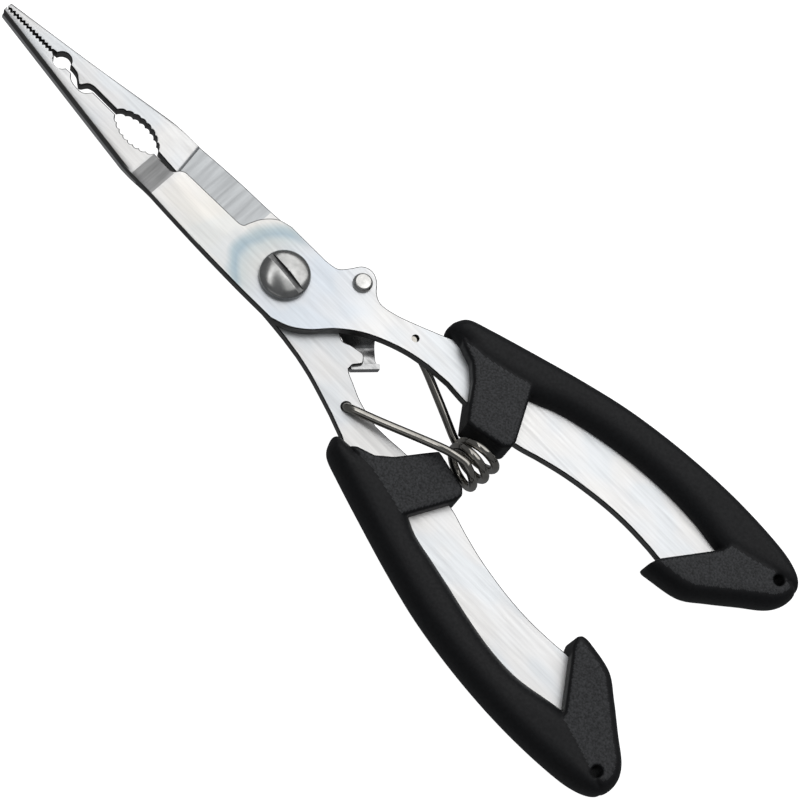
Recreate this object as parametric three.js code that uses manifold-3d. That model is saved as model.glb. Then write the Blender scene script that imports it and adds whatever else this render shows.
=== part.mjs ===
// Locking fishing pliers: two crossed stamped steel plates on a slotted pivot screw, each with a
// serrated jaw at one end and a moulded grip at the other, a torsion spring that opens them and a
// hook latch that keeps them shut. They lie flat, closed and latched.
// Millimetres. The origin is on the pivot axis at the plane the pliers lie on: +X points to the
// jaw tips, +Z is up through the plates, and the upper plate's handle is on the -Y side.
import * as THREE from 'three';
import { mergeVertices } from 'three/addons/utils/BufferGeometryUtils.js';
import Module from 'manifold-3d';

const wasm = await Module();
wasm.setup();

// ---------- driving dimensions ----------
const PLATE = 2.4; // thickness of each stamped plate
const PLATE_GAP = 0.1; // running gap between the plates
const GRIP_PROUD = 4.0; // how far a grip stands above and below its plate
const SLOT_GAP = 0.3; // clearance between a grip and the plate inside it
const FIT = 0.05; // radial clearance of a pin or a screw in its hole
const TIP_X = 72.9; // jaw tips, from the pivot axis
const PIVOT_R = 2.5; // pivot screw shank
const HEAD_R = 4.8; // pivot screw head
const HEAD_HEIGHT = 2.4;
const SLOT_WIDTH = 1.1; // screwdriver slot
const SLOT_DEPTH = 1.0;
const SLOT_TURN = -0.09; // angle of the slot from +X, radians
const NUT_FLATS = 8.0; // across the flats of the pivot nut
const NUT_HEIGHT = 3.1;
const WASHER_R = 4.9;
const WASHER_THICKNESS = 0.75;
const TEETH = 14; // fine teeth along each tip
const TOOTH_PITCH = 0.86;
const TOOTH_DEPTH = 0.36;
const BITE_GAP = 0.26; // gap between the closed tooth rows
const SCALLOPS = 8; // coarse serrations in each side of the oval grip hole
const SCALLOP_DEPTH = 0.32;
const HANDLE_MID_Y = -0.5; // the closed handles mirror each other about this line
const GRIP_MID_Y = -1.1; // and the outsides of the grips about this one
const RIDGE_INSET = 3.6; // from the inside edge of a grip's strip to its ridge
const OUTSIDE_ROUNDING = 2.4; // from the ridge to the outside of the grip
const BLOCK_DROP = 0.5; // the tops of the end blocks below the ridge
const GRIP_EDGE = 0.6; // rounding of the end blocks
const LANYARD = [-103.2, -25.3]; // lanyard hole in the upper plate's grip
const LANYARD_R = 1.05;
const SPRING_HOLE_TOP = [-24.9, -9.6];
const SPRING_HOLE_LOW = [-25.2, 8.5];
const SPRING_HOLE_R = 0.95;
const WIRE_R = 0.7; // spring wire
const COIL_R = 3.9; // half width of a spring turn, to the middle of the wire
const COIL_RISE = 5.1; // and half its height
const COIL_TURNS = 2.5;
const COIL_Z = 7.0;
const FAN_R = 12.6; // the turns stand round a circle of this radius, pinched on the jaw side
const FAN_CENTRE = [-35.75, -1.9];
const FAN_START = 0.3; // angle of the first turn, radians
const FAN_PITCH = 0.168; // angle between turns
const RIVET = [-10.7, -9.9]; // latch rivet, in the upper plate's lug
const RIVET_R = 1.35;
const LATCH_SHEET = 1.0;
const LATCH_REACH = 15.5; // rivet to the outside of the hooked end
const LATCH_WIDTH = 4.4;
const LATCH_SHOULDER = 3.7; // half width of the arm's wide root, on the side of the lower plate
const LATCH_DROP = 0.7; // the arm's far end runs this far under the lower plate
const LATCH_TURN = 2.412; // angle of the latch arm from +X when it is hooked, radians
const HOOK_WIDTH = 5.1;
const HOOK_HEIGHT = 3.2;
const HOOK_THICKNESS = 0.9;
const HOOK_TRIM = 0.5; // taken off the hook's inner end, clear of the swinging plate
const BEND_START = 27.9; // where the upper plate starts to bend down to its jaw
const BEND_END = 33.7;
const STEP_START = 28.8; // end of the lower plate's ground blade
const STEP_END = 29.1;
const STEP_HEIGHT = 0.4;

// ---------- levels ----------
const LOW_BOTTOM = GRIP_PROUD;
const LOW_TOP = LOW_BOTTOM + PLATE;
const TOP_BOTTOM = LOW_TOP + PLATE_GAP;
const TOP_TOP = TOP_BOTTOM + PLATE;
const NOSE_BOTTOM = (LOW_BOTTOM + TOP_BOTTOM) / 2;
const NOSE_TOP = NOSE_BOTTOM + PLATE;
const ABOVE_ALL = 20;
const FAR_TAIL = -110;

// ---------- materials ----------
const finish = (color, roughness, metalness) => (
  new THREE.MeshStandardMaterial({ color, roughness, metalness })
);
const steel = () => finish(0xd9dde0, 0.35, 1.0);
const brightSteel = () => finish(0xb9bcc0, 0.2, 1.0);
const springSteel = () => finish(0x6d6860, 0.18, 1.0);
const blackPlastic = () => finish(0x232426, 0.65, 0.0);

// ---------- tools ----------
const vectors = (list) => list.map(([x, y]) => new THREE.Vector2(x, y));
const mirrored = (list, middle = HANDLE_MID_Y) => list.map(([x, y]) => [x, 2 * middle - y]);
const reversed = (list) => [...list].reverse();

// A closed solid from a geometry whose corners are shared.
function solid(geometry) {
  const bare = geometry.clone();
  bare.deleteAttribute('normal');
  bare.deleteAttribute('uv');
  const merged = mergeVertices(bare, 1e-4);
  return new wasm.Manifold(new wasm.Mesh({
    numProp: 3,
    vertProperties: new Float32Array(merged.attributes.position.array),
    triVerts: new Uint32Array(merged.index.array),
  }));
}

// The corners of a closed outline, with no corner twice, anticlockwise or clockwise.
function corners(path, divisions, clockwise = false) {
  const points = path.getPoints(divisions);
  const single = points.filter((p, i) => p.distanceTo(points[(i + 1) % points.length]) > 0.01);
  return THREE.ShapeUtils.isClockWise(single) === clockwise ? single : single.reverse();
}

// A flat outline raised from z = low to z = high. Its top and bottom edges can slope in by inset over
// a height of rise: one step makes a chamfer, more steps a rounding.
function raised(shape, low, high, { inset = 0, rise = inset, steps = 2, divisions = 4 } = {}) {
  const flat = new THREE.Shape(corners(shape, divisions));
  flat.holes = shape.holes.map((hole) => new THREE.Path(corners(hole, 12, true)));
  const geometry = new THREE.ExtrudeGeometry(flat, {
    depth: high - low - 2 * rise,
    bevelEnabled: inset > 0,
    bevelThickness: rise,
    bevelSize: inset,
    bevelOffset: -inset,
    bevelSegments: steps,
  });
  geometry.translate(0, 0, low + rise);
  return solid(geometry);
}

// A side view, drawn as x and z, carried right across the pliers along Y.
function carriedAcross(profile, width) {
  const geometry = new THREE.ExtrudeGeometry(new THREE.Shape(vectors(profile)), {
    depth: width,
    bevelEnabled: false,
  });
  geometry.rotateX(Math.PI / 2);
  geometry.translate(0, width / 2, 0);
  return solid(geometry);
}

// A turned solid on a vertical axis, from (radius, height) points that start and end on the axis.
function turned(profile, x, y, segments) {
  const geometry = new THREE.LatheGeometry(vectors(profile), segments);
  geometry.rotateX(Math.PI / 2);
  geometry.translate(x, y, 0);
  return solid(geometry);
}

function roundHole([x, y], radius) {
  const hole = new THREE.Path();
  hole.absarc(x, y, radius, 0, 2 * Math.PI, true);
  return hole;
}

function part(name, made, material) {
  const { vertProperties, triVerts } = made.getMesh();
  const geometry = new THREE.BufferGeometry();
  geometry.setAttribute('position', new THREE.Float32BufferAttribute(vertProperties, 3));
  geometry.setIndex([...triVerts]);
  geometry.computeVertexNormals();
  const mesh = new THREE.Mesh(geometry, material);
  mesh.name = name;
  return mesh;
}

// ---------- outlines that the two plates share ----------
// The line along which the closed tips meet.
const biteY = (x) => 0.72 + 0.011 * (x - 66);

// One row of fine teeth, from the tip back; side is +1 on the upper plate and -1 on the lower.
function toothRow(side) {
  const row = [];
  for (let i = 0; i <= 2 * TEETH; i += 1) {
    const x = TIP_X - (i * TOOTH_PITCH) / 2;
    const swing = i % 2 === 0 ? -TOOTH_DEPTH / 2 : TOOTH_DEPTH / 2;
    row.push([x, biteY(x) + swing + (side * BITE_GAP) / 2]);
  }
  return row;
}

// One side of the serrated oval hole: an arc from x = front to x = back, scalloped.
function scallopedArc(front, back, chordY, height, side) {
  const half = (front - back) / 2;
  const radius = (half * half + height * height) / (2 * height);
  const arc = [];
  for (let i = 0; i <= 2 * SCALLOPS; i += 1) {
    const x = front - ((front - back) * i) / (2 * SCALLOPS);
    const depth = Math.sqrt(radius * radius - (x - (front + back) / 2) ** 2) - (radius - height);
    const bump = i % 2 === 0 ? 0 : SCALLOP_DEPTH;
    arc.push([x, chordY + side * (depth + bump)]);
  }
  return arc;
}

// Handle of the upper plate, from the neck along the inside edge to the tail.
const HANDLE_INSIDE = [
  [-35, -8.0], [-40, -7.7], [-46, -8.0], [-52, -8.9], [-57, -10.4], [-62, -11.7],
  [-67, -12.6], [-72, -13.2], [-77, -13.4], [-82, -13.2], [-86, -12.9], [-90, -13.5],
];
const HANDLE_TAIL = [[-94, -15.6], [-98, -19.6], [-99.3, -23], [-98, -26.3], [-94, -27.9]];
const HANDLE_OUTSIDE = [
  [-88, -28.4], [-80, -28.1], [-70, -27.0], [-57, -24.5], [-43, -20.5], [-33, -16.3], [-28.5, -14.1],
];

// ---------- plates ----------
function topPlateOutline() {
  const plan = new THREE.Shape(vectors(toothRow(1)));
  plan.lineTo(59.85, 1.2);
  plan.absarc(58.3, 0.65, 1.65, 0.34, Math.PI - 0.34, false);
  plan.lineTo(55.3, 1.1);
  plan.splineThru(vectors([[54.3, 2.0], [52.6, 2.35], [51.0, 2.1], [49.9, 0.75]]));
  plan.lineTo(43.9, 0.7);
  scallopedArc(43.9, 33.6, 0.7, 1.8, 1).forEach(([x, y]) => plan.lineTo(x, y));
  plan.lineTo(28.9, 1.1);
  plan.splineThru(vectors([[28.2, 0.8], [27.4, -0.3], [26.6, -0.7]]));
  plan.lineTo(13.2, -1.05);
  plan.splineThru(vectors([[12.2, -1.4], [11.75, -2.6], [10.7, -4.9], [8.7, -7.0], [6, -7.9]]));
  plan.lineTo(-3, -7.95);
  plan.splineThru(vectors([
    [-5.6, -8.5], [-7.1, -10.3], [-8.4, -12.3], [-10.3, -13.0], [-12.3, -12.2],
    [-13.9, -10.5], [-16.0, -9.6], [-19.5, -10.3], [-24, -12.1], [-28.5, -14.1],
  ]));
  plan.splineThru(vectors(reversed(HANDLE_OUTSIDE)).slice(1));
  plan.splineThru(vectors([...reversed(HANDLE_TAIL), ...reversed(HANDLE_INSIDE)]));
  plan.splineThru(vectors([
    [-30, -7.6], [-25.5, -6.6], [-21, -4.9], [-17, -2.7], [-13.5, 0.3], [-10.5, 3.9], [-7.5, 6.3], [-4, 7.65],
  ]));
  plan.splineThru(vectors([[4, 7.75], [12, 7.65], [20, 7.4], [28, 7.05], [36, 6.5]]));
  plan.lineTo(TIP_X - 0.3, 1.95);
  plan.lineTo(TIP_X, 1.6);
  plan.holes.push(roundHole([0, 0], PIVOT_R + FIT));
  plan.holes.push(roundHole(RIVET, RIVET_R + FIT));
  plan.holes.push(roundHole(SPRING_HOLE_TOP, SPRING_HOLE_R));
  return plan;
}

function topPlate() {
  const side = [
    [FAR_TAIL, TOP_BOTTOM], [BEND_START, TOP_BOTTOM], [BEND_END, NOSE_BOTTOM], [TIP_X + 5, NOSE_BOTTOM],
    [TIP_X + 5, NOSE_TOP], [BEND_END, NOSE_TOP], [BEND_START, TOP_TOP], [FAR_TAIL, TOP_TOP],
  ];
  return raised(topPlateOutline(), 0, ABOVE_ALL).intersect(carriedAcross(side, 100));
}

function lowPlateOutline() {
  const plan = new THREE.Shape(vectors(toothRow(-1)));
  plan.lineTo(60.1, 0.0);
  plan.absarc(58.25, 0.6, 1.75, -0.2, -Math.PI + 0.3, true);
  plan.lineTo(55.9, 0.1);
  plan.splineThru(vectors([[54.6, 0.35], [53.6, 1.05], [52.8, 1.6]]));
  plan.lineTo(52.3, 1.3);
  plan.splineThru(vectors([[51.6, 0.2], [50.5, -0.2]]));
  plan.lineTo(44.3, -0.2);
  scallopedArc(44.4, 33.4, -0.2, 2.15, -1).forEach(([x, y]) => plan.lineTo(x, y));
  plan.lineTo(28.3, -0.15);
  plan.lineTo(27.5, 0.8);
  plan.lineTo(26.8, 1.0);
  plan.lineTo(13.2, 1.0);
  plan.splineThru(vectors([[11.9, 1.9], [11.2, 3.8], [9.3, 5.5], [6, 6.4], [0, 6.7], [-4, 7.0], [-8, 7.4]]));
  plan.splineThru(vectors([[-12, 8.0], [-16, 8.9], [-20, 10.1], [-24, 11.4], [-28.5, 13.1]]));
  plan.splineThru(vectors(mirrored(reversed(HANDLE_OUTSIDE))).slice(1));
  plan.splineThru(vectors(mirrored([...reversed(HANDLE_TAIL), ...reversed(HANDLE_INSIDE)])));
  plan.splineThru(vectors([[-31.5, 7.1], [-27, 6.1], [-23, 4.4], [-20.6, 3.6]]));
  plan.lineTo(-19.6, 3.0);
  plan.lineTo(-19.8, 1.6);
  plan.lineTo(-19.7, -0.3);
  plan.splineThru(vectors([[-19.0, -0.95], [-17.4, -0.6], [-15.8, 0.0], [-14.4, -0.7]]));
  plan.splineThru(vectors([[-12.4, -2.8], [-10, -5.3], [-7.4, -7.5], [-4, -8.5], [0, -8.6]]));
  plan.splineThru(vectors([
    [6, -8.4], [12, -8.0], [18, -7.8], [24, -7.45], [30, -6.95], [36, -6.45],
    [42, -5.4], [48, -4.3], [54, -3.25], [60, -2.3], [66, -1.4], [TIP_X, -0.4],
  ]));
  plan.holes.push(roundHole([0, 0], PIVOT_R + FIT));
  plan.holes.push(roundHole(SPRING_HOLE_LOW, SPRING_HOLE_R));
  return plan;
}

// The ground shear blade ends in a small step at the foot of the jaw.
function lowPlate() {
  const side = [
    [FAR_TAIL, LOW_BOTTOM], [BEND_START + 0.5, LOW_BOTTOM], [BEND_END + 0.7, NOSE_BOTTOM],
    [TIP_X + 5, NOSE_BOTTOM], [TIP_X + 5, NOSE_TOP], [BEND_END + 1.8, NOSE_TOP],
    [STEP_END, LOW_TOP + STEP_HEIGHT], [STEP_START, LOW_TOP], [FAR_TAIL, LOW_TOP],
  ];
  return raised(lowPlateOutline(), 0, ABOVE_ALL).intersect(carriedAcross(side, 100));
}

// ---------- pivot ----------
function pivotScrew() {
  const base = TOP_TOP + FIT;
  const rim = base + HEAD_HEIGHT * 0.4;
  const dome = new THREE.EllipseCurve(0, rim, HEAD_R, HEAD_HEIGHT * 0.6, 0, Math.PI / 2).getPoints(6);
  const profile = [[0, 0], [PIVOT_R, 0], [PIVOT_R, base], [HEAD_R, base]];
  dome.slice(0, -1).forEach((p) => profile.push([p.x, p.y]));
  profile.push([0, rim + HEAD_HEIGHT * 0.6]);
  const slot = new THREE.BoxGeometry(3 * HEAD_R, SLOT_WIDTH, 2 * SLOT_DEPTH);
  slot.rotateZ(SLOT_TURN);
  slot.translate(0, 0, base + HEAD_HEIGHT);
  return turned(profile, 0, 0, 48).subtract(solid(slot));
}

function pivotNut() {
  const corner = NUT_FLATS / 2 / Math.cos(Math.PI / 6);
  const hex = new THREE.Shape();
  for (let i = 0; i < 6; i += 1) {
    const turn = (i * Math.PI) / 3;
    hex[i === 0 ? 'moveTo' : 'lineTo'](corner * Math.cos(turn), corner * Math.sin(turn));
  }
  hex.holes.push(roundHole([0, 0], PIVOT_R + FIT));
  return raised(hex, 0, NUT_HEIGHT);
}

function pivotWasher() {
  const ring = new THREE.Shape();
  ring.absarc(0, 0, WASHER_R, 0, 2 * Math.PI, false);
  ring.holes.push(roundHole([0, 0], PIVOT_R + 2 * FIT));
  return raised(ring, LOW_BOTTOM - FIT - WASHER_THICKNESS, LOW_BOTTOM - FIT, { divisions: 24 });
}

// ---------- latch ----------
function latchRivet() {
  const base = TOP_TOP + FIT;
  const foot = TOP_BOTTOM - PLATE_GAP - LATCH_SHEET - FIT;
  return turned([
    [0, foot - 0.65], [1.9, foot - 0.65], [2.2, foot - 0.35], [2.2, foot], [RIVET_R, foot],
    [RIVET_R, base], [1.9, base], [1.9, base + 0.65], [1.75, base + 1.0], [1.45, base + 1.25],
    [0, base + 1.25],
  ], ...RIVET, 32);
}

// Drawn with the rivet at the origin and the arm along +X, then turned into place.
function lockLatch() {
  const high = TOP_BOTTOM - PLATE_GAP;
  const low = LOW_BOTTOM - LATCH_DROP;
  const inside = LATCH_REACH - HOOK_THICKNESS;
  const plan = new THREE.Shape();
  plan.absarc(0, 0, 2.9, 0.86, (3 * Math.PI) / 2, false);
  plan.lineTo(4.2, -LATCH_SHOULDER);
  plan.lineTo(8.8, -LATCH_SHOULDER);
  plan.lineTo(11.4, -LATCH_WIDTH / 2);
  plan.lineTo(inside - 1.2, -LATCH_WIDTH / 2);
  plan.lineTo(inside - 0.2, -HOOK_WIDTH / 2 + HOOK_TRIM);
  plan.lineTo(LATCH_REACH, -HOOK_WIDTH / 2 + HOOK_TRIM);
  plan.lineTo(LATCH_REACH, HOOK_WIDTH / 2);
  plan.lineTo(inside - 0.2, HOOK_WIDTH / 2);
  plan.lineTo(inside - 1.2, LATCH_WIDTH / 2);
  plan.holes.push(roundHole([0, 0], RIVET_R + FIT));
  const side = [
    [-5, high - LATCH_SHEET], [7.4, high - LATCH_SHEET], [10.2, low - LATCH_SHEET],
    [LATCH_REACH + 1, low - LATCH_SHEET], [LATCH_REACH + 1, low - LATCH_SHEET + HOOK_HEIGHT],
    [inside, low - LATCH_SHEET + HOOK_HEIGHT], [inside, low], [10.9, low], [8.1, high], [-5, high],
  ];
  return raised(plan, 0, ABOVE_ALL)
    .intersect(carriedAcross(side, 20))
    .rotate([0, 0, THREE.MathUtils.radToDeg(LATCH_TURN)])
    .translate([...RIVET, 0]);
}

// ---------- spring ----------
// The wire's middle line: a hooked end in the lower plate, an arm to the top of the first turn,
// turns that stand upright round a circle, and an arm under the upper plate to its hooked end.
function springLine() {
  const turn = (count) => {
    const around = Math.PI / 2 - 2 * Math.PI * count;
    const fan = FAN_START - FAN_PITCH * count;
    const out = FAN_R + COIL_R * Math.cos(around);
    return [
      FAN_CENTRE[0] - out * Math.cos(fan),
      FAN_CENTRE[1] + out * Math.sin(fan),
      COIL_Z + COIL_RISE * Math.sin(around),
    ];
  };
  const [lowX, lowY] = SPRING_HOLE_LOW;
  const [topX, topY] = SPRING_HOLE_TOP;
  const onPlate = LOW_TOP + WIRE_R + 0.2;
  const underPlate = TOP_BOTTOM - WIRE_R - 0.2;
  const line = [
    [lowX, lowY, LOW_BOTTOM + 0.5], [lowX, lowY, LOW_TOP - 0.4], [lowX - 0.8, lowY, onPlate],
    [-31.6, 6.7, 8.7], [-37.1, 4.85, 10.2], [-41.7, 3.4, 11.6], [-44.6, 2.5, 12.1],
  ];
  const steps = COIL_TURNS * 20;
  for (let i = 0; i <= steps; i += 1) {
    line.push(turn(i / 20));
  }
  line.push(
    [-45.2, -2.9, 2.6], [-43.0, -3.1, 3.3], [-39.1, -4.6, 4.0], [-35.5, -6.0, 4.6],
    [-30.0, -8.1, underPlate - 0.2], [topX - 0.9, topY + 0.2, underPlate],
    [topX, topY, TOP_BOTTOM + 0.5], [topX, topY, TOP_TOP - 0.5],
  );
  return new THREE.CatmullRomCurve3(line.map((p) => new THREE.Vector3(...p)), false, 'centripetal');
}

function returnSpring() {
  const section = new THREE.Shape();
  section.absarc(0, 0, WIRE_R, 0, 2 * Math.PI, false);
  return solid(new THREE.ExtrudeGeometry(section, {
    extrudePath: springLine(),
    steps: 110,
    curveSegments: 4,
    bevelEnabled: false,
  }));
}

// ---------- grips ----------
// The grip on the upper plate: an outside strip with a block at each end, which leaves the
// plate bare between the blocks.
const GRIP_OUTSIDE = [
  [-27.8, -16.9], [-29.2, -19.2], [-33.6, -20.9], [-43, -23.9], [-52, -26.6], [-61, -28.9], [-70, -30.4],
  [-79, -31.3], [-88, -31.6], [-97, -31.2], [-102.8, -30.3], [-106.4, -28.4], [-107.3, -25.1],
  [-105.8, -21.8], [-101.6, -18.2], [-96.9, -14.2], [-92.6, -11.0], [-86.2, -9.7],
];
const STRIP_INSIDE = [
  [8, -17], [-20, -15.6], [-28.6, -14.7], [-31.8, -14.4], [-36, -13.6], [-47, -16.4], [-53, -18.9],
  [-60, -20.8], [-68.6, -22.3], [-77, -22.9], [-84.8, -22.7], [-91.5, -21.8], [-96, -22.4], [-103, -24.6],
  [-114, -30],
];
const FRONT_BLOCK = [
  [-28.6, -14.7], [-31.8, -14.4], [-35.2, -13.1], [-38.2, -10.5], [-41.7, -5.6], [-43.0, -4.7],
  [-50.9, -6.5], [-51.4, -8.2], [-45.2, -20], [-35, -18], [-28.4, -16.5],
];
const REAR_BLOCK = [
  [-88, -5], [-86.5, -8.9], [-85.3, -9.8], [-84.6, -10.9], [-85.1, -12.0], [-92, -21.6],
  [-93, -26], [-112, -27], [-112, -5],
];

// The rounded outside of a grip, closed by straight lines that stay clear of the blocks.
function gripEnvelope(mirror) {
  const shape = new THREE.Shape();
  const [first, ...outside] = vectors(mirror(GRIP_OUTSIDE, GRIP_MID_Y));
  shape.moveTo(first.x, first.y);
  shape.splineThru(outside);
  vectors(mirror([[-70, -6.9], [-32, 4], [-27.5, 4]])).forEach((p) => shape.lineTo(p.x, p.y));
  return shape;
}

function stripShape(mirror) {
  const shape = new THREE.Shape();
  const [first, ...inside] = vectors(mirror(STRIP_INSIDE));
  shape.moveTo(first.x, first.y);
  shape.splineThru(inside);
  vectors(mirror([[-114, -45], [10, -45]])).forEach((p) => shape.lineTo(p.x, p.y));
  return shape;
}

// The slot that the handle of the plate fills, a little larger than the handle all round.
function slotShape(mirror) {
  const loop = new THREE.Shape();
  const neck = vectors(mirror([[-20, -6], [-24, -12.1], [-20, -10.4]]));
  loop.moveTo(neck[0].x, neck[0].y);
  loop.splineThru(vectors(mirror(HANDLE_INSIDE)));
  loop.splineThru(vectors(mirror([...HANDLE_TAIL, ...HANDLE_OUTSIDE])));
  loop.lineTo(neck[1].x, neck[1].y);
  loop.lineTo(neck[2].x, neck[2].y);
  const points = loop.getPoints(4);
  const turn = Math.sign(THREE.ShapeUtils.area(points));
  return new THREE.Shape(points.map((p, i) => {
    const before = points[(i + points.length - 1) % points.length];
    const after = points[(i + 1) % points.length];
    const along = after.clone().sub(before).normalize();
    return new THREE.Vector2(p.x + turn * SLOT_GAP * along.y, p.y - turn * SLOT_GAP * along.x);
  }));
}

function grip(mirror, plateBottom) {
  const low = plateBottom - GRIP_PROUD;
  const high = plateBottom + PLATE + GRIP_PROUD;
  const rounded = { inset: OUTSIDE_ROUNDING, rise: GRIP_PROUD, steps: 3 };
  const sloping = { inset: RIDGE_INSET, rise: GRIP_PROUD - SLOT_GAP, steps: 1 };
  const envelope = raised(gripEnvelope(mirror), low, high, rounded);
  const strip = raised(stripShape(mirror), low, high, sloping);
  const [front, rear] = [FRONT_BLOCK, REAR_BLOCK].map((block) => (
    raised(new THREE.Shape(vectors(mirror(block))), low, high - BLOCK_DROP, { inset: GRIP_EDGE })
  ));
  const slot = raised(slotShape(mirror), plateBottom - SLOT_GAP, plateBottom + PLATE + SLOT_GAP);
  const hole = new THREE.Shape();
  const [[x, y]] = mirror([LANYARD], GRIP_MID_Y);
  hole.absarc(x, y, LANYARD_R, 0, 2 * Math.PI, false);
  return strip.add(front).add(rear)
    .intersect(envelope)
    .subtract(slot)
    .subtract(raised(hole, low - 1, high + 1));
}

// ---------- assembly ----------
const pliers = new THREE.Group();
pliers.add(
  part('jaw_plate_top', topPlate(), steel()),
  part('jaw_plate_bottom', lowPlate(), steel()),
  part('pivot_screw', pivotScrew(), brightSteel()),
  part('pivot_washer', pivotWasher(), brightSteel()),
  part('pivot_nut', pivotNut(), brightSteel()),
  part('latch_rivet', latchRivet(), brightSteel()),
  part('lock_latch', lockLatch(), brightSteel()),
  part('return_spring', returnSpring(), springSteel()),
  part('grip_top', grip((list) => list, TOP_BOTTOM), blackPlastic()),
  part('grip_bottom', grip(mirrored, LOW_BOTTOM), blackPlastic()),
);

export default pliers;
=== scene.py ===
"""Looks of the locking fishing pliers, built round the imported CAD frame.

Shapes are drawn in millimetres in the same frame as the CAD part and scaled to metres at the end.
+X points to the jaw tips, +Z is up through the plates, the upper plate's handle is on the -Y side.
"""
import math

import bmesh
import bpy
import numpy as np
import openvdb
from mathutils import Euler, Matrix, Vector

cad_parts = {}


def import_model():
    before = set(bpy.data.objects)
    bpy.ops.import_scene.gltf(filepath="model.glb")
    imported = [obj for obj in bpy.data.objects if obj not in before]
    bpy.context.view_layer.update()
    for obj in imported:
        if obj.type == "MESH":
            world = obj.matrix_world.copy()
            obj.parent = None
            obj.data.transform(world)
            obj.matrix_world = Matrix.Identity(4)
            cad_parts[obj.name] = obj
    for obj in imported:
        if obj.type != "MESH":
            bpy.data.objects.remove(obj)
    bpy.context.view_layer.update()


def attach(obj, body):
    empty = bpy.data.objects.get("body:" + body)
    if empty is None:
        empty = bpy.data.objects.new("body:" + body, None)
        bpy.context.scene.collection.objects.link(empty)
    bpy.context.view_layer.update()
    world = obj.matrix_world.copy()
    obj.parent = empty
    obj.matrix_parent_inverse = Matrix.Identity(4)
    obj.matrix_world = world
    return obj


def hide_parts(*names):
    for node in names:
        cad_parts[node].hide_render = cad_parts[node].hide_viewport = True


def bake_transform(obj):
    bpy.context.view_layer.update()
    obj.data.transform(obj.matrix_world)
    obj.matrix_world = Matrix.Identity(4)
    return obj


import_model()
MM = 0.001

# ---------- levels and driving sizes, millimetres ----------
PLATE = 2.4
LOW_BOTTOM, LOW_TOP = 4.0, 6.4
TOP_BOTTOM, TOP_TOP = 6.5, 8.9
NOSE_TOP = 7.65
PLATE_EDGE = 0.18  # rounding of the plates' edges
GRIP_HALF = 5.2  # half the thickness of a grip
BLOCK_DROP = 0.45  # the end blocks of a grip lie this much below its ridge
HANDLE_MID = -0.5  # the two handles mirror each other about this y
GRIP_MID = -1.1  # and the outsides of the two grips about this one
TIP_X = 72.9
RIVET = (-10.7, -9.9)
LATCH_TURN = 2.412  # the way the latch points from its rivet, radians from +X
LATCH_GAP, LATCH_SHEET = 0.1, 1.0  # between the upper plate and the latch, and the latch's thickness
LANYARD = (-103.2, -25.3)
LANYARD_R = 1.05
PIVOT_HOLE_R = 2.55
SHANK_R = 2.5
SPRING_HOLE_TOP = (-24.9, -9.6)
SPRING_HOLE_LOW = (-25.2, 8.5)
SPRING_HOLE_R = 0.95
WIRE_R = 0.82
HEAD_R = 4.8
BLADE_ROOT = 11.0  # the ground face of the scissor blade starts at this x, under the head
STEP_X, STEP_Y, STEP_SKEW = 29.0, -3.8, 0.16  # the step at its front end, which runs a little aslant
NOSE_ROOT = 30.0  # the rounded outside edge of a jaw starts here


# ---------- outlines ----------
def spline(points, divisions=8):
    """Points of a uniform Catmull-Rom curve through the given points, both ends included."""
    p = [np.array(q, float) for q in points]
    out = []
    for i in range(len(p) - 1):
        before, a, b = p[max(i - 1, 0)], p[i], p[i + 1]
        after = p[min(i + 2, len(p) - 1)]
        v0, v1 = (b - before) / 2, (after - a) / 2
        for k in range(divisions):
            t = k / divisions
            out.append((2 * a - 2 * b + v0 + v1) * t**3 + (-3 * a + 3 * b - 2 * v0 - v1) * t**2 + v0 * t + a)
    out.append(p[-1])
    return [tuple(q) for q in out]


def arc(cx, cy, radius, start, end, steps=14):
    """Points of an arc between two angles in radians, both ends included."""
    angles = [start + (end - start) * i / steps for i in range(steps + 1)]
    return [(cx + radius * math.cos(a), cy + radius * math.sin(a)) for a in angles]


def mirrored(points, middle=HANDLE_MID):
    """The points on the other side of the line y = middle."""
    return [(x, 2 * middle - y) for x, y in points]


def as_drawn(points, middle=HANDLE_MID):
    """The points as they are: it stands in for mirrored on the upper grip."""
    return list(points)


def tooth_row(side, teeth=14, pitch=0.86, depth=0.4, gap=0.26):
    """Pointed teeth from the tip backwards, half a gap to one side of the line where the jaws meet."""
    row = []
    for i in range(2 * teeth + 1):
        x = TIP_X - i * pitch / 2
        meeting = 0.72 + 0.011 * (x - 66)
        swing = -depth / 2 if i % 2 == 0 else depth / 2
        row.append((x, meeting + swing + side * gap / 2))
    return row


def scalloped(front, back, chord, height, side, bumps=8, depth=0.34):
    """An arc from front to back made of round-bottomed notches with sharp crests between them."""
    half = (front - back) / 2
    radius = (half**2 + height**2) / (2 * height)
    out = []
    for i in range(bumps * 6 + 1):
        x = front - (front - back) * i / (bumps * 6)
        rise = math.sqrt(radius**2 - (x - (front + back) / 2) ** 2) - (radius - height)
        out.append((x, chord + side * (rise + depth * abs(math.sin(math.pi * i / 6)) ** 0.8)))
    return out


# A handle as the upper plate has it: the side towards the other handle, its end, and its outer side.
HANDLE_INSIDE = [
    (-35, -8.0), (-40, -7.7), (-46, -8.0), (-52, -8.9), (-57, -10.4), (-62, -11.7),
    (-67, -12.6), (-72, -13.2), (-77, -13.4), (-82, -13.2), (-86, -12.9), (-90, -13.5),
]
HANDLE_TAIL = [(-94, -15.6), (-98, -19.6), (-99.3, -23), (-98, -26.3), (-94, -27.9)]
HANDLE_OUTSIDE = [
    (-88, -28.4), (-80, -28.1), (-70, -27.0), (-57, -24.5), (-43, -20.5), (-33, -16.3), (-28.5, -14.1),
]


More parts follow.
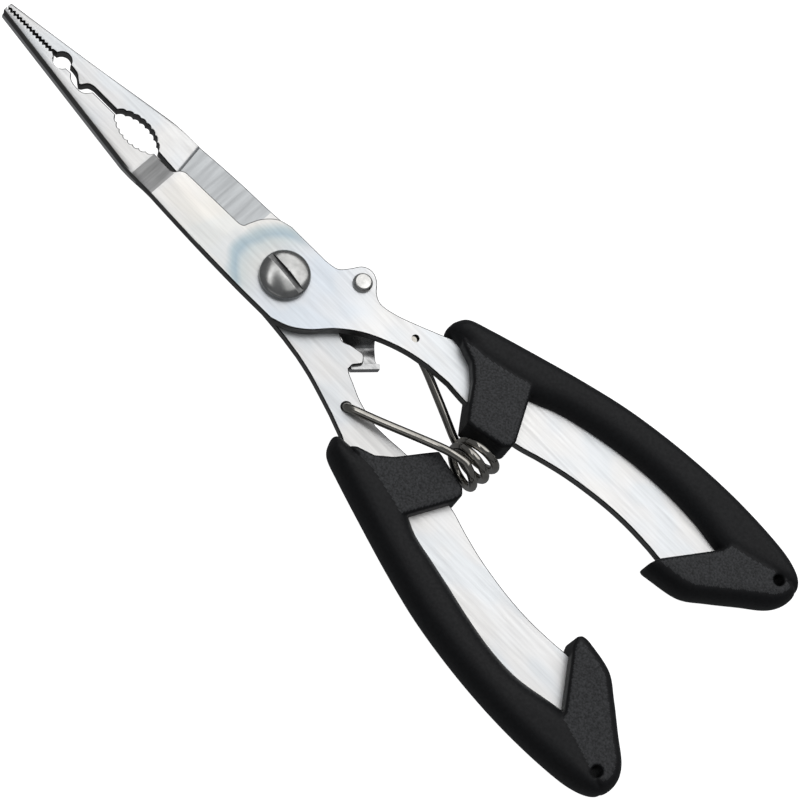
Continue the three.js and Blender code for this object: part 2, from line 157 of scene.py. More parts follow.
def top_outline():
    """The upper plate: back from the tip by one edge, round the handle, and forward by the other edge."""
    out = tooth_row(1)
    out += arc(58.3, 0.65, 1.65, 0.34, math.pi - 0.34)
    out += spline([(55.3, 1.1), (54.3, 2.0), (52.6, 2.35), (51.0, 2.1), (49.9, 0.75)])
    out += scalloped(43.9, 33.6, 0.7, 1.75, 1)
    out += spline([(28.9, 1.1), (28.2, 0.8), (27.4, -0.3), (26.6, -0.7)])
    out += spline([(13.2, -1.05), (12.2, -1.4), (11.75, -2.6), (10.7, -4.9), (8.7, -7.0), (6, -7.9)])
    out += spline([
        (-3, -7.95), (-5.6, -8.5), (-7.1, -10.3), (-8.4, -12.3), (-10.3, -13.0), (-12.3, -12.2),
        (-13.9, -10.5), (-16.0, -9.6), (-19.5, -10.3), (-24, -12.1),
    ])
    out += spline(HANDLE_OUTSIDE[::-1])
    out += spline(HANDLE_TAIL[::-1] + HANDLE_INSIDE[::-1])
    out += spline([
        (-30, -7.6), (-25.5, -6.6), (-21, -4.9), (-17, -2.7),
        (-13.5, 0.3), (-10.5, 3.9), (-7.5, 6.3), (-4, 7.65),
    ])
    out += spline([(4, 7.75), (12, 7.65), (20, 7.4), (28, 7.05), (36, 6.5)])
    out += [(TIP_X - 0.3, 1.95), (TIP_X, 1.6)]
    return out


def low_outline():
    """The lower plate, in the same order, with the latch's catch after the handle."""
    out = tooth_row(-1)
    out += arc(58.25, 0.6, 1.75, -0.2, -math.pi + 0.3)
    out += spline([(55.9, 0.1), (54.6, 0.35), (53.6, 1.05), (52.8, 1.6)])
    out += spline([(52.3, 1.3), (51.6, 0.2), (50.5, -0.2)])
    out += scalloped(44.4, 33.4, -0.2, 2.1, -1)
    out += [(28.3, -0.15), (27.5, 0.8), (26.8, 1.0)]
    out += spline([
        (13.2, 1.0), (11.9, 1.9), (11.2, 3.8), (9.3, 5.5), (6, 6.4), (0, 6.7), (-4, 7.0), (-8, 7.4),
    ])
    out += spline([(-12, 8.0), (-16, 8.9), (-20, 10.1), (-24, 11.4)])
    out += spline(mirrored(HANDLE_OUTSIDE[::-1]))
    out += spline(mirrored(HANDLE_TAIL[::-1] + HANDLE_INSIDE[::-1]))
    out += spline([(-31.5, 7.1), (-26.5, 5.9), (-22.8, 4.3), (-21.2, 3.6), (-20.35, 3.0)])
    out += spline([(-20.3, 1.9), (-21.2, 0.6), (-21.3, 0.1), (-20.3, -1.0), (-19.0, -0.95)])
    out += spline([(-17.4, -0.6), (-15.8, 0.0), (-14.4, -0.7)])
    out += spline([(-12.4, -2.8), (-10, -5.3), (-7.4, -7.5), (-4, -8.5), (0, -8.6)])
    out += spline([
        (6, -8.4), (12, -8.0), (18, -7.8), (24, -7.45), (30, -6.95), (36, -6.45),
        (42, -5.4), (48, -4.3), (54, -3.25), (60, -2.3), (66, -1.4), (TIP_X, -0.4),
    ])
    return out


def cleaned(points, closest=0.02):
    """The outline with no corner twice, anticlockwise."""
    keep = []
    for p in points:
        if not keep or math.dist(p, keep[-1]) > closest:
            keep.append(p)
    if math.dist(keep[0], keep[-1]) <= closest:
        keep.pop()
    area = sum(a[0] * b[1] - b[0] * a[1] for a, b in zip(keep, keep[1:] + keep[:1]))
    return keep if area > 0 else keep[::-1]


# ---------- node materials ----------
def new_material(name):
    """A material, its nodes and links, and its main shader."""
    mat = bpy.data.materials.new(name)
    mat.use_nodes = True
    nodes, links = mat.node_tree.nodes, mat.node_tree.links
    shader = nodes["Principled BSDF"]
    return mat, nodes, links, shader


def stretched_noise(nodes, links, scale, detail=3.0, size=1.0, turn=0.0):
    """Noise read in the object's own millimetres, stretched by a scale for each axis."""
    coords = nodes.new("ShaderNodeTexCoord")
    mapping = nodes.new("ShaderNodeMapping")
    mapping.inputs["Scale"].default_value = [s * 1000.0 for s in scale]
    mapping.inputs["Rotation"].default_value = (0, 0, turn)
    noise = nodes.new("ShaderNodeTexNoise")
    noise.inputs["Scale"].default_value = size
    noise.inputs["Detail"].default_value = detail
    noise.inputs["Roughness"].default_value = 0.6
    links.new(coords.outputs["Object"], mapping.inputs["Vector"])
    links.new(mapping.outputs["Vector"], noise.inputs["Vector"])
    return noise


def ramp(nodes, links, factor, stops):
    """Colour that follows a factor through (place, colour) stops."""
    node = nodes.new("ShaderNodeValToRGB")
    element = node.color_ramp.elements
    for _ in range(len(stops) - 2):
        element.new(0.5)
    for e, (at, colour) in zip(element, stops):
        e.position = at
        e.color = (*colour, 1.0) if len(colour) == 3 else colour
    links.new(factor, node.inputs["Fac"])
    return node


def bump(nodes, links, shader, height, strength, distance):
    """A relief of the shader, its distance in millimetres."""
    node = nodes.new("ShaderNodeBump")
    node.inputs["Strength"].default_value = strength
    node.inputs["Distance"].default_value = distance * MM
    links.new(height, node.inputs["Height"])
    links.new(node.outputs["Normal"], shader.inputs["Normal"])
    return node


def grey(value, tint=(1.0, 1.0, 1.0)):
    """A grey, leaning to a tint."""
    return tuple(value * t for t in tint)


def metal(name, dark, light, rough, scale, tint=(1, 1, 1), strength=0.12, turn=0.0):
    """Brushed or ground metal: grain stretched along an axis sets colour, gloss and a fine relief."""
    mat, nodes, links, shader = new_material(name)
    grain = stretched_noise(nodes, links, scale, turn=turn)
    colour = ramp(nodes, links, grain.outputs["Fac"], [(0.3, grey(dark, tint)), (0.7, grey(light, tint))])
    links.new(colour.outputs["Color"], shader.inputs["Base Color"])
    gloss = ramp(nodes, links, grain.outputs["Fac"], [(0.3, grey(rough * 1.2)), (0.7, grey(rough * 0.8))])
    links.new(gloss.outputs["Color"], shader.inputs["Roughness"])
    shader.inputs["Metallic"].default_value = 1.0
    bump(nodes, links, shader, grain.outputs["Fac"], strength, 0.02)
    return mat


def multiplied(nodes, links, one, other):
    """The product of two colours."""
    mix = nodes.new("ShaderNodeMixRGB")
    mix.blend_type = "MULTIPLY"
    mix.inputs["Fac"].default_value = 1.0
    links.new(one, mix.inputs["Color1"])
    links.new(other, mix.inputs["Color2"])
    return mix.outputs["Color"]


def masked(nodes, links, mask, inside):
    """White where the mask is 0, the given colour where it is 1."""
    mix = nodes.new("ShaderNodeMixRGB")
    mix.inputs["Color1"].default_value = (1, 1, 1, 1)
    links.new(mask, mix.inputs["Fac"])
    links.new(inside, mix.inputs["Color2"])
    return mix.outputs["Color"]


def painted_shade_round_pivot(nodes, links):
    """Painted shade and highlight round the pivot: a blue band of painted shadow in front of it, standing for
    a shallow dish round the screw, a darker and cooler head, and a painted highlight along the lip of the
    neck.

    Distances are shares of the reach, so that each ramp covers 0 to 40 mm from the pivot."""
    reach = 40.0
    coords = nodes.new("ShaderNodeTexCoord")
    mapping = nodes.new("ShaderNodeMapping")
    mapping.inputs["Scale"].default_value = (1000 / reach, 1000 / reach, 0)
    links.new(coords.outputs["Object"], mapping.inputs["Vector"])
    wander = stretched_noise(nodes, links, (0.12, 0.2, 0.1), detail=1)
    shift = nodes.new("ShaderNodeVectorMath")
    shift.operation = "MULTIPLY_ADD"
    links.new(wander.outputs["Color"], shift.inputs[0])
    shift.inputs[1].default_value = (0.07, 0.07, 0)
    links.new(mapping.outputs["Vector"], shift.inputs[2])
    centred = nodes.new("ShaderNodeVectorMath")
    centred.operation = "SUBTRACT"
    links.new(shift.outputs["Vector"], centred.inputs[0])
    centred.inputs[1].default_value = (0.035, 0.05, 0)
    length = nodes.new("ShaderNodeVectorMath")
    length.operation = "LENGTH"
    links.new(centred.outputs["Vector"], length.inputs[0])
    split = nodes.new("ShaderNodeSeparateXYZ")
    links.new(centred.outputs["Vector"], split.inputs["Vector"])
    radius = length.outputs["Value"]
    # Painted shade: darker round the screw, with a blue band of painted shadow in front of the pivot.
    front = ramp(nodes, links, radius, [
        (5.5 / reach, (0.82, 0.83, 0.815)), (7.6 / reach, (0.76, 0.81, 0.81)),
        (8.9 / reach, (0.54, 0.65, 0.71)), (9.7 / reach, (0.61, 0.71, 0.75)),
        (11.2 / reach, (0.98, 0.97, 0.95)), (18 / reach, (1, 0.995, 0.975)), (28 / reach, (1, 1, 1)),
    ])
    # Painted shade: darker and cooler behind the pivot.
    back = ramp(nodes, links, radius, [
        (5 / reach, (0.84, 0.87, 0.91)), (12 / reach, (0.88, 0.91, 0.95)), (20 / reach, (0.98, 0.98, 0.98)),
    ])
    ahead = ramp(nodes, links, split.outputs["X"], [(0.5 / reach, grey(0)), (5.5 / reach, grey(1))])
    around = nodes.new("ShaderNodeMixRGB")
    links.new(ahead.outputs["Color"], around.inputs["Fac"])
    links.new(back.outputs["Color"], around.inputs["Color1"])
    links.new(front.outputs["Color"], around.inputs["Color2"])
    # Painted highlight: lighter and warmer along the scissor lip.
    lip = ramp(nodes, links, split.outputs["Y"], [
        (0, (1.12, 1.1, 1.07)), (1.4 / reach, (1.1, 1.08, 1.05)), (2.8 / reach, (0.99, 0.98, 0.96)),
    ])
    neck = ramp(nodes, links, split.outputs["X"], [
        (11.5 / reach, grey(0)), (13.5 / reach, grey(1)), (27 / reach, grey(1)), (28.6 / reach, grey(0)),
    ])
    # warm holds the lip's painted highlight, on the neck only.
    warm = masked(nodes, links, neck.outputs["Color"], lip.outputs["Color"])
    return multiplied(nodes, links, around.outputs["Color"], warm)


def painted_shade_along_x(nodes, links, shades, reach=60.0):
    """Painted shade along the plate: a grey that follows x through (millimetres, value) pairs, up to the
    reach on each side of the pivot.
    """
    coords = nodes.new("ShaderNodeTexCoord")
    split = nodes.new("ShaderNodeSeparateXYZ")
    links.new(coords.outputs["Object"], split.inputs["Vector"])
    share = nodes.new("ShaderNodeMapRange")
    share.inputs["From Min"].default_value = -reach * MM
    share.inputs["From Max"].default_value = reach * MM
    links.new(split.outputs["X"], share.inputs["Value"])
    stops = [((x + reach) / (2 * reach), grey(value)) for x, value in shades]
    return ramp(nodes, links, share.outputs["Result"], stops).outputs["Color"]


def plate_steel(name, shine, shades, with_pivot_shade):
    """Satin steel: fine brushing along X, broad streaks, cool and warm areas at random, painted shade along
    the plate, and, where asked, painted shade and highlight round the pivot.
    """
    mat, nodes, links, shader = new_material(name)
    fine = stretched_noise(nodes, links, (0.09, 2.2, 1.0), detail=4)
    streak = stretched_noise(nodes, links, (0.02, 0.55, 0.2), detail=2)
    cloud = stretched_noise(nodes, links, (0.09, 0.13, 0.1), detail=1)
    tint = ramp(nodes, links, cloud.outputs["Fac"], [
        (0.4, grey(shine, (0.955, 0.98, 1.0))), (0.5, grey(shine)), (0.62, grey(shine, (1.01, 1.0, 0.985))),
    ])
    lines = ramp(nodes, links, fine.outputs["Fac"], [(0.3, grey(0.93)), (0.62, grey(1.0))])
    broad = ramp(nodes, links, streak.outputs["Fac"], [(0.3, grey(0.9)), (0.42, grey(1.0))])
    colour = multiplied(nodes, links, tint.outputs["Color"], lines.outputs["Color"])
    colour = multiplied(nodes, links, colour, broad.outputs["Color"])
    # Painted shade along x, then, where asked, painted shade and highlight round the pivot.
    colour = multiplied(nodes, links, colour, painted_shade_along_x(nodes, links, shades))
    if with_pivot_shade:
        colour = multiplied(nodes, links, colour, painted_shade_round_pivot(nodes, links))
    links.new(colour, shader.inputs["Base Color"])
    gloss = ramp(nodes, links, fine.outputs["Fac"], [(0.3, grey(0.46)), (0.7, grey(0.38))])
    links.new(gloss.outputs["Color"], shader.inputs["Roughness"])
    shader.inputs["Metallic"].default_value = 1.0
    bump(nodes, links, shader, fine.outputs["Fac"], 0.1, 0.02)
    return mat


def plastic(name, dark, light, rough, size, strength, depth, specular=0.4):
    """Moulded plastic: an even grain sets a little colour, gloss and relief."""
    mat, nodes, links, shader = new_material(name)
    grain = stretched_noise(nodes, links, (1, 1, 1), detail=3, size=size)
    colour = ramp(nodes, links, grain.outputs["Fac"], [(0.35, dark), (0.65, light)])
    links.new(colour.outputs["Color"], shader.inputs["Base Color"])
    gloss = ramp(nodes, links, grain.outputs["Fac"], [(0.3, grey(rough * 1.1)), (0.7, grey(rough * 0.9))])
    links.new(gloss.outputs["Color"], shader.inputs["Roughness"])
    shader.inputs["Specular IOR Level"].default_value = specular
    bump(nodes, links, shader, grain.outputs["Fac"], strength, depth)
    return mat


# The x stops are painted shade: both plates painted darker towards the jaws. The upper plate also gets the
# painted shade and highlight round the pivot.
STEEL = plate_steel("plate_steel_top", 0.92, [(-5, 1.0), (10, 0.93), (60, 0.92)], True)
LOW_STEEL = plate_steel("plate_steel_low", 0.93, [(-50, 1.0), (-26, 0.87), (10, 0.88), (40, 0.92)], False)
# Painted shade: the rounded rims of the plates painted near black, a dark outline where the rims catch little
# light.
RIM_PAINTED_DARK = metal("plate_rim_painted_shade", 0.03, 0.07, 0.6, (0.3, 0.3, 1.5))
FLARE = metal("edge_flare", 0.85, 0.98, 0.55, (0.3, 0.3, 1.5))
# Painted shade: the plates' walls painted dark grey, standing for the dark reflections they show.
EDGE = metal("plate_wall_painted_dark", 0.12, 0.22, 0.4, (0.2, 0.2, 1.5), (1.0, 0.98, 0.96))
BLADE = metal("blade_ground", 0.52, 0.59, 0.42, (0.9, 0.05, 0.3), (0.97, 1.0, 1.02), strength=0.02)
# Painted shade: the sloping bend of the upper plate painted a darker grey than the plate.
BEND_PAINTED_DARK = metal("plate_bend_painted_shade", 0.34, 0.47, 0.4, (1.4, 0.12, 1.0))
SCREW = metal("screw_steel", 0.38, 0.6, 0.24, (0.3, 0.3, 0.3), (1.0, 1.0, 0.98), strength=0.05)
PIN = metal("pin_steel", 0.55, 0.75, 0.2, (0.5, 0.5, 0.5), (1.0, 0.99, 0.96), strength=0.06)
LATCH = metal("latch_steel", 0.3, 0.6, 0.24, (0.25, 1.2, 0.25), strength=0.08, turn=LATCH_TURN)
# Painted shade: the inside of the screw's slot painted dark.
SLOT_PAINTED_DARK = metal("screw_slot_painted_shade", 0.16, 0.24, 0.42, (0.8, 0.8, 3.0))
WIRE = metal("spring_wire", 0.36, 0.5, 0.15, (0.5, 0.5, 0.5), (1.0, 0.96, 0.88), strength=0.03)
TEXTURED = plastic("grip_textured", (0.022, 0.0225, 0.024), (0.066, 0.068, 0.073), 0.62, 2.6, 0.7, 0.06)
SMOOTH = plastic("grip_smooth", (0.0135, 0.0138, 0.0152), (0.019, 0.0194, 0.0212), 0.5, 1.6, 0.25, 0.03, 0.22)


# ---------- mesh helpers ----------
def add_object(name, mesh, materials):
    """An object of the mesh, linked to the scene, with its material slots."""
    obj = bpy.data.objects.new(name, mesh)
    bpy.context.scene.collection.objects.link(obj)
    for m in materials:
        mesh.materials.append(m)
    return obj


def shade(mesh, angle=34):
    """Smooth shading, with sharp edges where faces meet at more than the angle, in degrees."""
    mesh.shade_smooth()
    mesh.set_sharp_from_angle(angle=math.radians(angle))


def flat_faces_stay_flat(mesh, front):
    """Sharp edges between the flat faces of a plate and its rounded edges, behind a given x."""
    bm = bmesh.new()
    bm.from_mesh(mesh)
    for e in bm.edges:
        if len(e.link_faces) == 2 and max(v.co.x for v in e.verts) < front * MM:
            levels = sorted(abs(f.normal.z) for f in e.link_faces)
            if levels[1] > 0.9995 and levels[0] < 0.999:
                e.smooth = False
    bm.to_mesh(mesh)
    bm.free()


def even_normals(obj):
    """Normals that follow the large faces, so that flat faces look flat beside their rounded edges."""
    weighted = obj.modifiers.new("even_normals", "WEIGHTED_NORMAL")
    weighted.keep_sharp = True


def mesh_of_curve(curve):
    """The mesh that a curve makes with its bevel and fill."""
    temp = bpy.data.objects.new(curve.name, curve)
    bpy.context.scene.collection.objects.link(temp)
    mesh = bpy.data.meshes.new_from_object(temp.evaluated_get(bpy.context.evaluated_depsgraph_get()))
    bpy.data.objects.remove(temp)
    return mesh


def plate_bmesh(outline, holes, low, high, edge):
    """A flat plate with rounded edges, filled between its outline and its round holes, in millimetres."""
    curve = bpy.data.curves.new("outline", "CURVE")
    curve.dimensions = "2D"
    curve.fill_mode = "BOTH"
    curve.extrude = (high - low) / 2 - edge
    curve.bevel_depth = edge
    curve.bevel_resolution = 2
    curve.offset = -edge
    loops = [cleaned(outline)] + [arc(x, y, r, 0, 2 * math.pi, 40)[:-1] for x, y, r in holes]
    for loop in loops:
        poly = curve.splines.new("POLY")
        poly.points.add(len(loop) - 1)
        for point, (x, y) in zip(poly.points, loop):
            point.co = (x, y, 0, 1)
        poly.use_cyclic_u = True
    mesh = mesh_of_curve(curve)
    bm = bmesh.new()
    bm.from_mesh(mesh)
    bpy.data.meshes.remove(mesh)
    bmesh.ops.remove_doubles(bm, verts=bm.verts, dist=0.002)
    bmesh.ops.translate(bm, verts=bm.verts, vec=(0, 0, (low + high) / 2))
    return bm


def cut_across(bm, point, normal, keep=lambda face: True):
    """Edges where a plane crosses the faces that pass the test, so that they can bend or change there."""
    faces = [f for f in bm.faces if keep(f)]
    geom = list({v for f in faces for v in f.verts} | {e for f in faces for e in f.edges}) + faces
    bmesh.ops.bisect_plane(bm, geom=geom, plane_co=point, plane_no=normal, dist=0.001)


def finish_mesh(bm, name):
    """The mesh in metres of a bmesh in millimetres."""
    bmesh.ops.recalc_face_normals(bm, faces=bm.faces)
    mesh = bpy.data.meshes.new(name)
    bm.to_mesh(mesh)
    bm.free()
    mesh.transform(Matrix.Scale(MM, 4))
    return mesh


def eased(x, start, end, low, high):
    """From low to high between start and end, with soft corners."""
    t = min(max((x - start) / (end - start), 0.0), 1.0)
    return low + (high - low) * (0.8 * t + 0.2 * t * t * (3 - 2 * t))


def nose_line(side):
    """A point on, and the inward normal of, the straight outside edge of a jaw."""
    if side > 0:
        start, tip = Vector((36.0, 6.5, 0)), Vector((72.6, 1.95, 0))
    else:
        start, tip = Vector((36.0, -6.45, 0)), Vector((TIP_X, -0.4, 0))
    along = (tip - start).normalized()
    inward = Vector((along.y, -along.x, 0)) * side
    return start, inward


def bend_nose(bm, side, middle, levels, width, depth, flare=0.0):
    """Moves the nose of a plate to the jaw level, rounds its outside edge and flares the foot of its wall."""
    start, inward = nose_line(side)

    def on_nose(face):
        return face.calc_center_median().x > NOSE_ROOT - 1

    def on_nose_wall(face):
        return on_nose(face) and abs(face.normal.z) < 0.2

    for share in (0.12, 0.3, 0.5, 0.72, 1.0):
        cut_across(bm, start + inward * width * share, inward, on_nose)
    flare_top = middle - 0.35
    if flare:
        cut_across(bm, (0, 0, flare_top), (0, 0, 1), on_nose_wall)
    for v in bm.verts:
        upper = v.co.z > middle
        foot = v.co.z < flare_top - 0.01
        v.co.z += levels(v.co.x, v.co.y, upper)
        if v.co.x > NOSE_ROOT:
            from_edge = (v.co - start).dot(inward)
            ease = min((v.co.x - NOSE_ROOT) / 6, 1.0)
            if upper and from_edge < width:
                t = 1 - max(from_edge, 0.0) / width
                v.co.z -= depth * (1 - math.sqrt(max(1 - t * t, 0.0))) * ease
            if foot and from_edge < 0.5:
                v.co -= inward * flare * ease


def paint(mesh, choose):
    """Gives each face the slot that choose picks from its centre, in millimetres, and its normal."""
    for f in mesh.polygons:
        f.material_index = choose(f.center / MM, f.normal)


# ---------- plates ----------
FACE, WALL, SHADED_BEND_AND_GROUND, RIM, FLARED = range(5)  # material slots of a plate; walls and rims take painted shade, the upper plate's bend takes painted shade, the lower plate's ground blade its own grey


def is_rim(n):
    """Whether a normal belongs to the rounding between a flat face and a wall."""
    return 0.25 < abs(n.z) < 0.99


def top_plate():
    holes = [(0, 0, PIVOT_HOLE_R), (*RIVET, 1.4), (*SPRING_HOLE_TOP, SPRING_HOLE_R)]
    bm = plate_bmesh(top_outline(), holes, TOP_BOTTOM, TOP_TOP, PLATE_EDGE)
    for x in np.arange(27.5, 34.6, 0.5):
        cut_across(bm, (x, 0, 0), (1, 0, 0))
    drop = NOSE_TOP - TOP_TOP

    def levels(x, y, upper):
        return eased(x, 27.9, 33.7, 0, drop)

    bend_nose(bm, 1, (TOP_BOTTOM + TOP_TOP) / 2, levels, 1.5, 0.6, 0.3)
    mesh = finish_mesh(bm, "upper_plate")
    start, inward = nose_line(1)

    def choose(c, n):
        """The flared foot of the nose's wall, the rounded rims and the walls with painted shade, the bend
        with painted shade, and the flat faces.
        """
        from_edge = (c - start).dot(inward)
        sloping = abs(n.y) < 0.2
        if 30 < c.x < 72 and c.z < 6.1 and n.z > 0.1 and from_edge < 0.4:
            return FLARED
        if is_rim(n) and not (27.5 < c.x < 34 and sloping) and from_edge > 1.7:
            return RIM
        if abs(n.z) < 0.9 and not (28 < c.x < 34 and sloping):
            return WALL
        return SHADED_BEND_AND_GROUND if 28.2 < c.x < 33.5 and n.z > 0.5 else FACE

    paint(mesh, choose)
    shade(mesh, 28)
    flat_faces_stay_flat(mesh, 28)
    obj = add_object("upper_plate", mesh, [STEEL, EDGE, BEND_PAINTED_DARK, RIM_PAINTED_DARK, FLARE])
    even_normals(obj)
    return obj


def low_plate():
    holes = [(0, 0, PIVOT_HOLE_R), (*SPRING_HOLE_LOW, SPRING_HOLE_R)]
    bm = plate_bmesh(low_outline(), holes, LOW_BOTTOM, LOW_TOP, PLATE_EDGE)
    cut_across(bm, (BLADE_ROOT, 0, 0), (1, 0, 0))
    for x in [28.3, 28.5, 28.65, 28.8, STEP_X, 29.3, *np.arange(29.8, 36.2, 0.6)]:
        cut_across(bm, (float(x), STEP_Y, 0), (1, STEP_SKEW, 0))
    lift, step = NOSE_TOP - LOW_TOP, 0.3

    def levels(x, y, upper):
        if not upper:
            return eased(x, 28.4, 34.4, 0, lift)
        skewed = x + STEP_SKEW * (y - STEP_Y)
        return eased(skewed, 28.5, STEP_X, 0, step) + eased(skewed, STEP_X, 35.5, 0, lift - step)

    bend_nose(bm, -1, (LOW_BOTTOM + LOW_TOP) / 2, levels, 0.9, 0.5)
    mesh = finish_mesh(bm, "lower_plate")
    start, inward = nose_line(-1)

    def choose(c, n):
        """The rounded rims and the walls with painted shade, the ground blade up to the step, and the flat
        faces.
        """
        behind_nose = c.x <= 29
        inside_edge = behind_nose or (c - start).dot(inward) > 0.95
        if is_rim(n) and not (27.5 < c.x < 36 and abs(n.y) < 0.2) and inside_edge:
            return RIM
        if abs(n.z) < 0.9 and not (28 < c.x < 36 and abs(n.x) > 0.2 and n.z > 0.5):
            return WALL
        before_step = c.x + STEP_SKEW * (c.y - STEP_Y) < STEP_X
        return SHADED_BEND_AND_GROUND if BLADE_ROOT < c.x < NOSE_ROOT and n.z > 0.5 and before_step else FACE

    paint(mesh, choose)
    shade(mesh, 28)
    flat_faces_stay_flat(mesh, 30)
    obj = add_object("lower_plate", mesh, [LOW_STEEL, EDGE, BLADE, RIM_PAINTED_DARK])
    even_normals(obj)
    return obj


# ---------- turned pieces ----------
def lathe(profile, x, y, segments=96):
    """A closed turned solid from (radius, height) points that start and end on the axis."""
    bm = bmesh.new()
    rings = []
    for radius, height in profile:
        if radius < 1e-6:
            rings.append([bm.verts.new((x, y, height))])
            continue
        circle = arc(x, y, radius, 0, 2 * math.pi, segments)[:-1]
        rings.append([bm.verts.new((*point, height)) for point in circle])
    for a, b in zip(rings, rings[1:]):
        for i in range(segments):
            j = (i + 1) % segments
            loop = [a[i % len(a)], a[j % len(a)], b[j % len(b)], b[i % len(b)]]
            face = list(dict.fromkeys(loop))
            if len(face) > 2:
                bm.faces.new(face)
    return bm


def rounded_profile(corners, radius, steps=4):
    """(radius, height) corners with each inner corner rounded."""
    out = [corners[0]]
    for before, at, after in zip(corners, corners[1:], corners[2:]):
        p, a, b = Vector(at), Vector(before), Vector(after)
        size = min(radius, (a - p).length * 0.45, (b - p).length * 0.45)
        start, end = p + (a - p).normalized() * size, p + (b - p).normalized() * size
        for k in range(steps + 1):
            t = k / steps
            out.append(tuple((1 - t) ** 2 * start + 2 * t * (1 - t) * p + t * t * end))
    out.append(corners[-1])
    return out


def screw():
    """A domed head on a plain shank, with a slot cut across the dome, painted dark inside as shade."""
    base = TOP_TOP + 0.03
    rim, top = base + 0.9, base + 2.4
    dome = [
        (HEAD_R * math.cos(t), rim + (top - rim) * math.sin(t)) for t in np.linspace(0, math.pi / 2, 14)[:-1]
    ]
    shank = rounded_profile([(0, 0.02), (SHANK_R, 0.02), (SHANK_R, 3.6)], 0.3)
    under_head = [(SHANK_R, base), (HEAD_R - 0.3, base), (HEAD_R, base + 0.6)]
    bm = lathe([*shank, *under_head, *dome, (0, top)], 0, 0)
    head = add_object("pivot_screw_head", finish_mesh(bm, "pivot_screw_head"), [SCREW, SLOT_PAINTED_DARK])
    slot = bmesh.new()
    bmesh.ops.create_cube(slot, size=1.0)
    slot_length, slot_width, slot_height = 14, 1.1, 1.9
    turn = Matrix.Rotation(-0.09, 4, "Z")
    size = Matrix.Diagonal((slot_length, slot_width, slot_height, 1))
    slot.transform(Matrix.Translation((0, 0, top)) @ turn @ size)
    cutter = add_object("slot_cutter", finish_mesh(slot, "slot_cutter"), [SCREW, SLOT_PAINTED_DARK])
    # The cutter's faces become the inside of the slot, with its painted shade.
    paint(cutter.data, lambda c, n: 1)
    cut = head.modifiers.new("slot", "BOOLEAN")
    cut.object = cutter
    cut.operation = "DIFFERENCE"
    cut.solver = "EXACT"
    soften = head.modifiers.new("soft_edges", "BEVEL")
    soften.width = 0.12 * MM
    soften.segments = 2
    soften.limit_method = "ANGLE"
    soften.angle_limit = math.radians(50)
    apply_modifiers(head)
    bpy.data.objects.remove(cutter)
    shade(head.data, 32)
    return head


def apply_modifiers(obj):
    """Turns an object's modifiers into its mesh."""
    made = bpy.data.meshes.new_from_object(obj.evaluated_get(bpy.context.evaluated_depsgraph_get()))
    obj.modifiers.clear()
    obj.data = made


def nut():
    across_flats = 8.0
    corner = across_flats / 2 / math.cos(math.pi / 6)
    hexagon = arc(0, 0, corner, 0, 2 * math.pi, 6)[:-1]
    bm = plate_bmesh(hexagon, [(0, 0, PIVOT_HOLE_R)], 0, 3.1, 0.25)
    mesh = finish_mesh(bm, "pivot_nut_body")
    shade(mesh, 30)
    return add_object("pivot_nut_body", mesh, [PIN])


def washer():
    bm = plate_bmesh(arc(0, 0, 4.9, 0, 2 * math.pi, 72)[:-1], [(0, 0, 2.6)], 3.2, 3.95, 0.12)
    mesh = finish_mesh(bm, "pivot_washer_disc")
    shade(mesh, 30)
    return add_object("pivot_washer_disc", mesh, [PIN])


def rivet():
    """The latch's pin: a low head on the plate, a shank, and a flat foot under the latch strip."""
    base = TOP_TOP + 0.03
    foot = TOP_BOTTOM - LATCH_GAP - LATCH_SHEET - 0.07
    pin, head, spread = 1.33, 1.9, 2.1
    corners = [
        (0, foot - 0.58), (spread, foot - 0.58), (spread, foot), (pin, foot), (pin, base),
        (head, base), (head, base + 0.45), (1.5, base + 1.0), (0, base + 1.0),
    ]
    mesh = finish_mesh(lathe(rounded_profile(corners, 0.22), *RIVET, 64), "latch_rivet_pin")
    shade(mesh, 40)
    return add_object("latch_rivet_pin", mesh, [PIN])


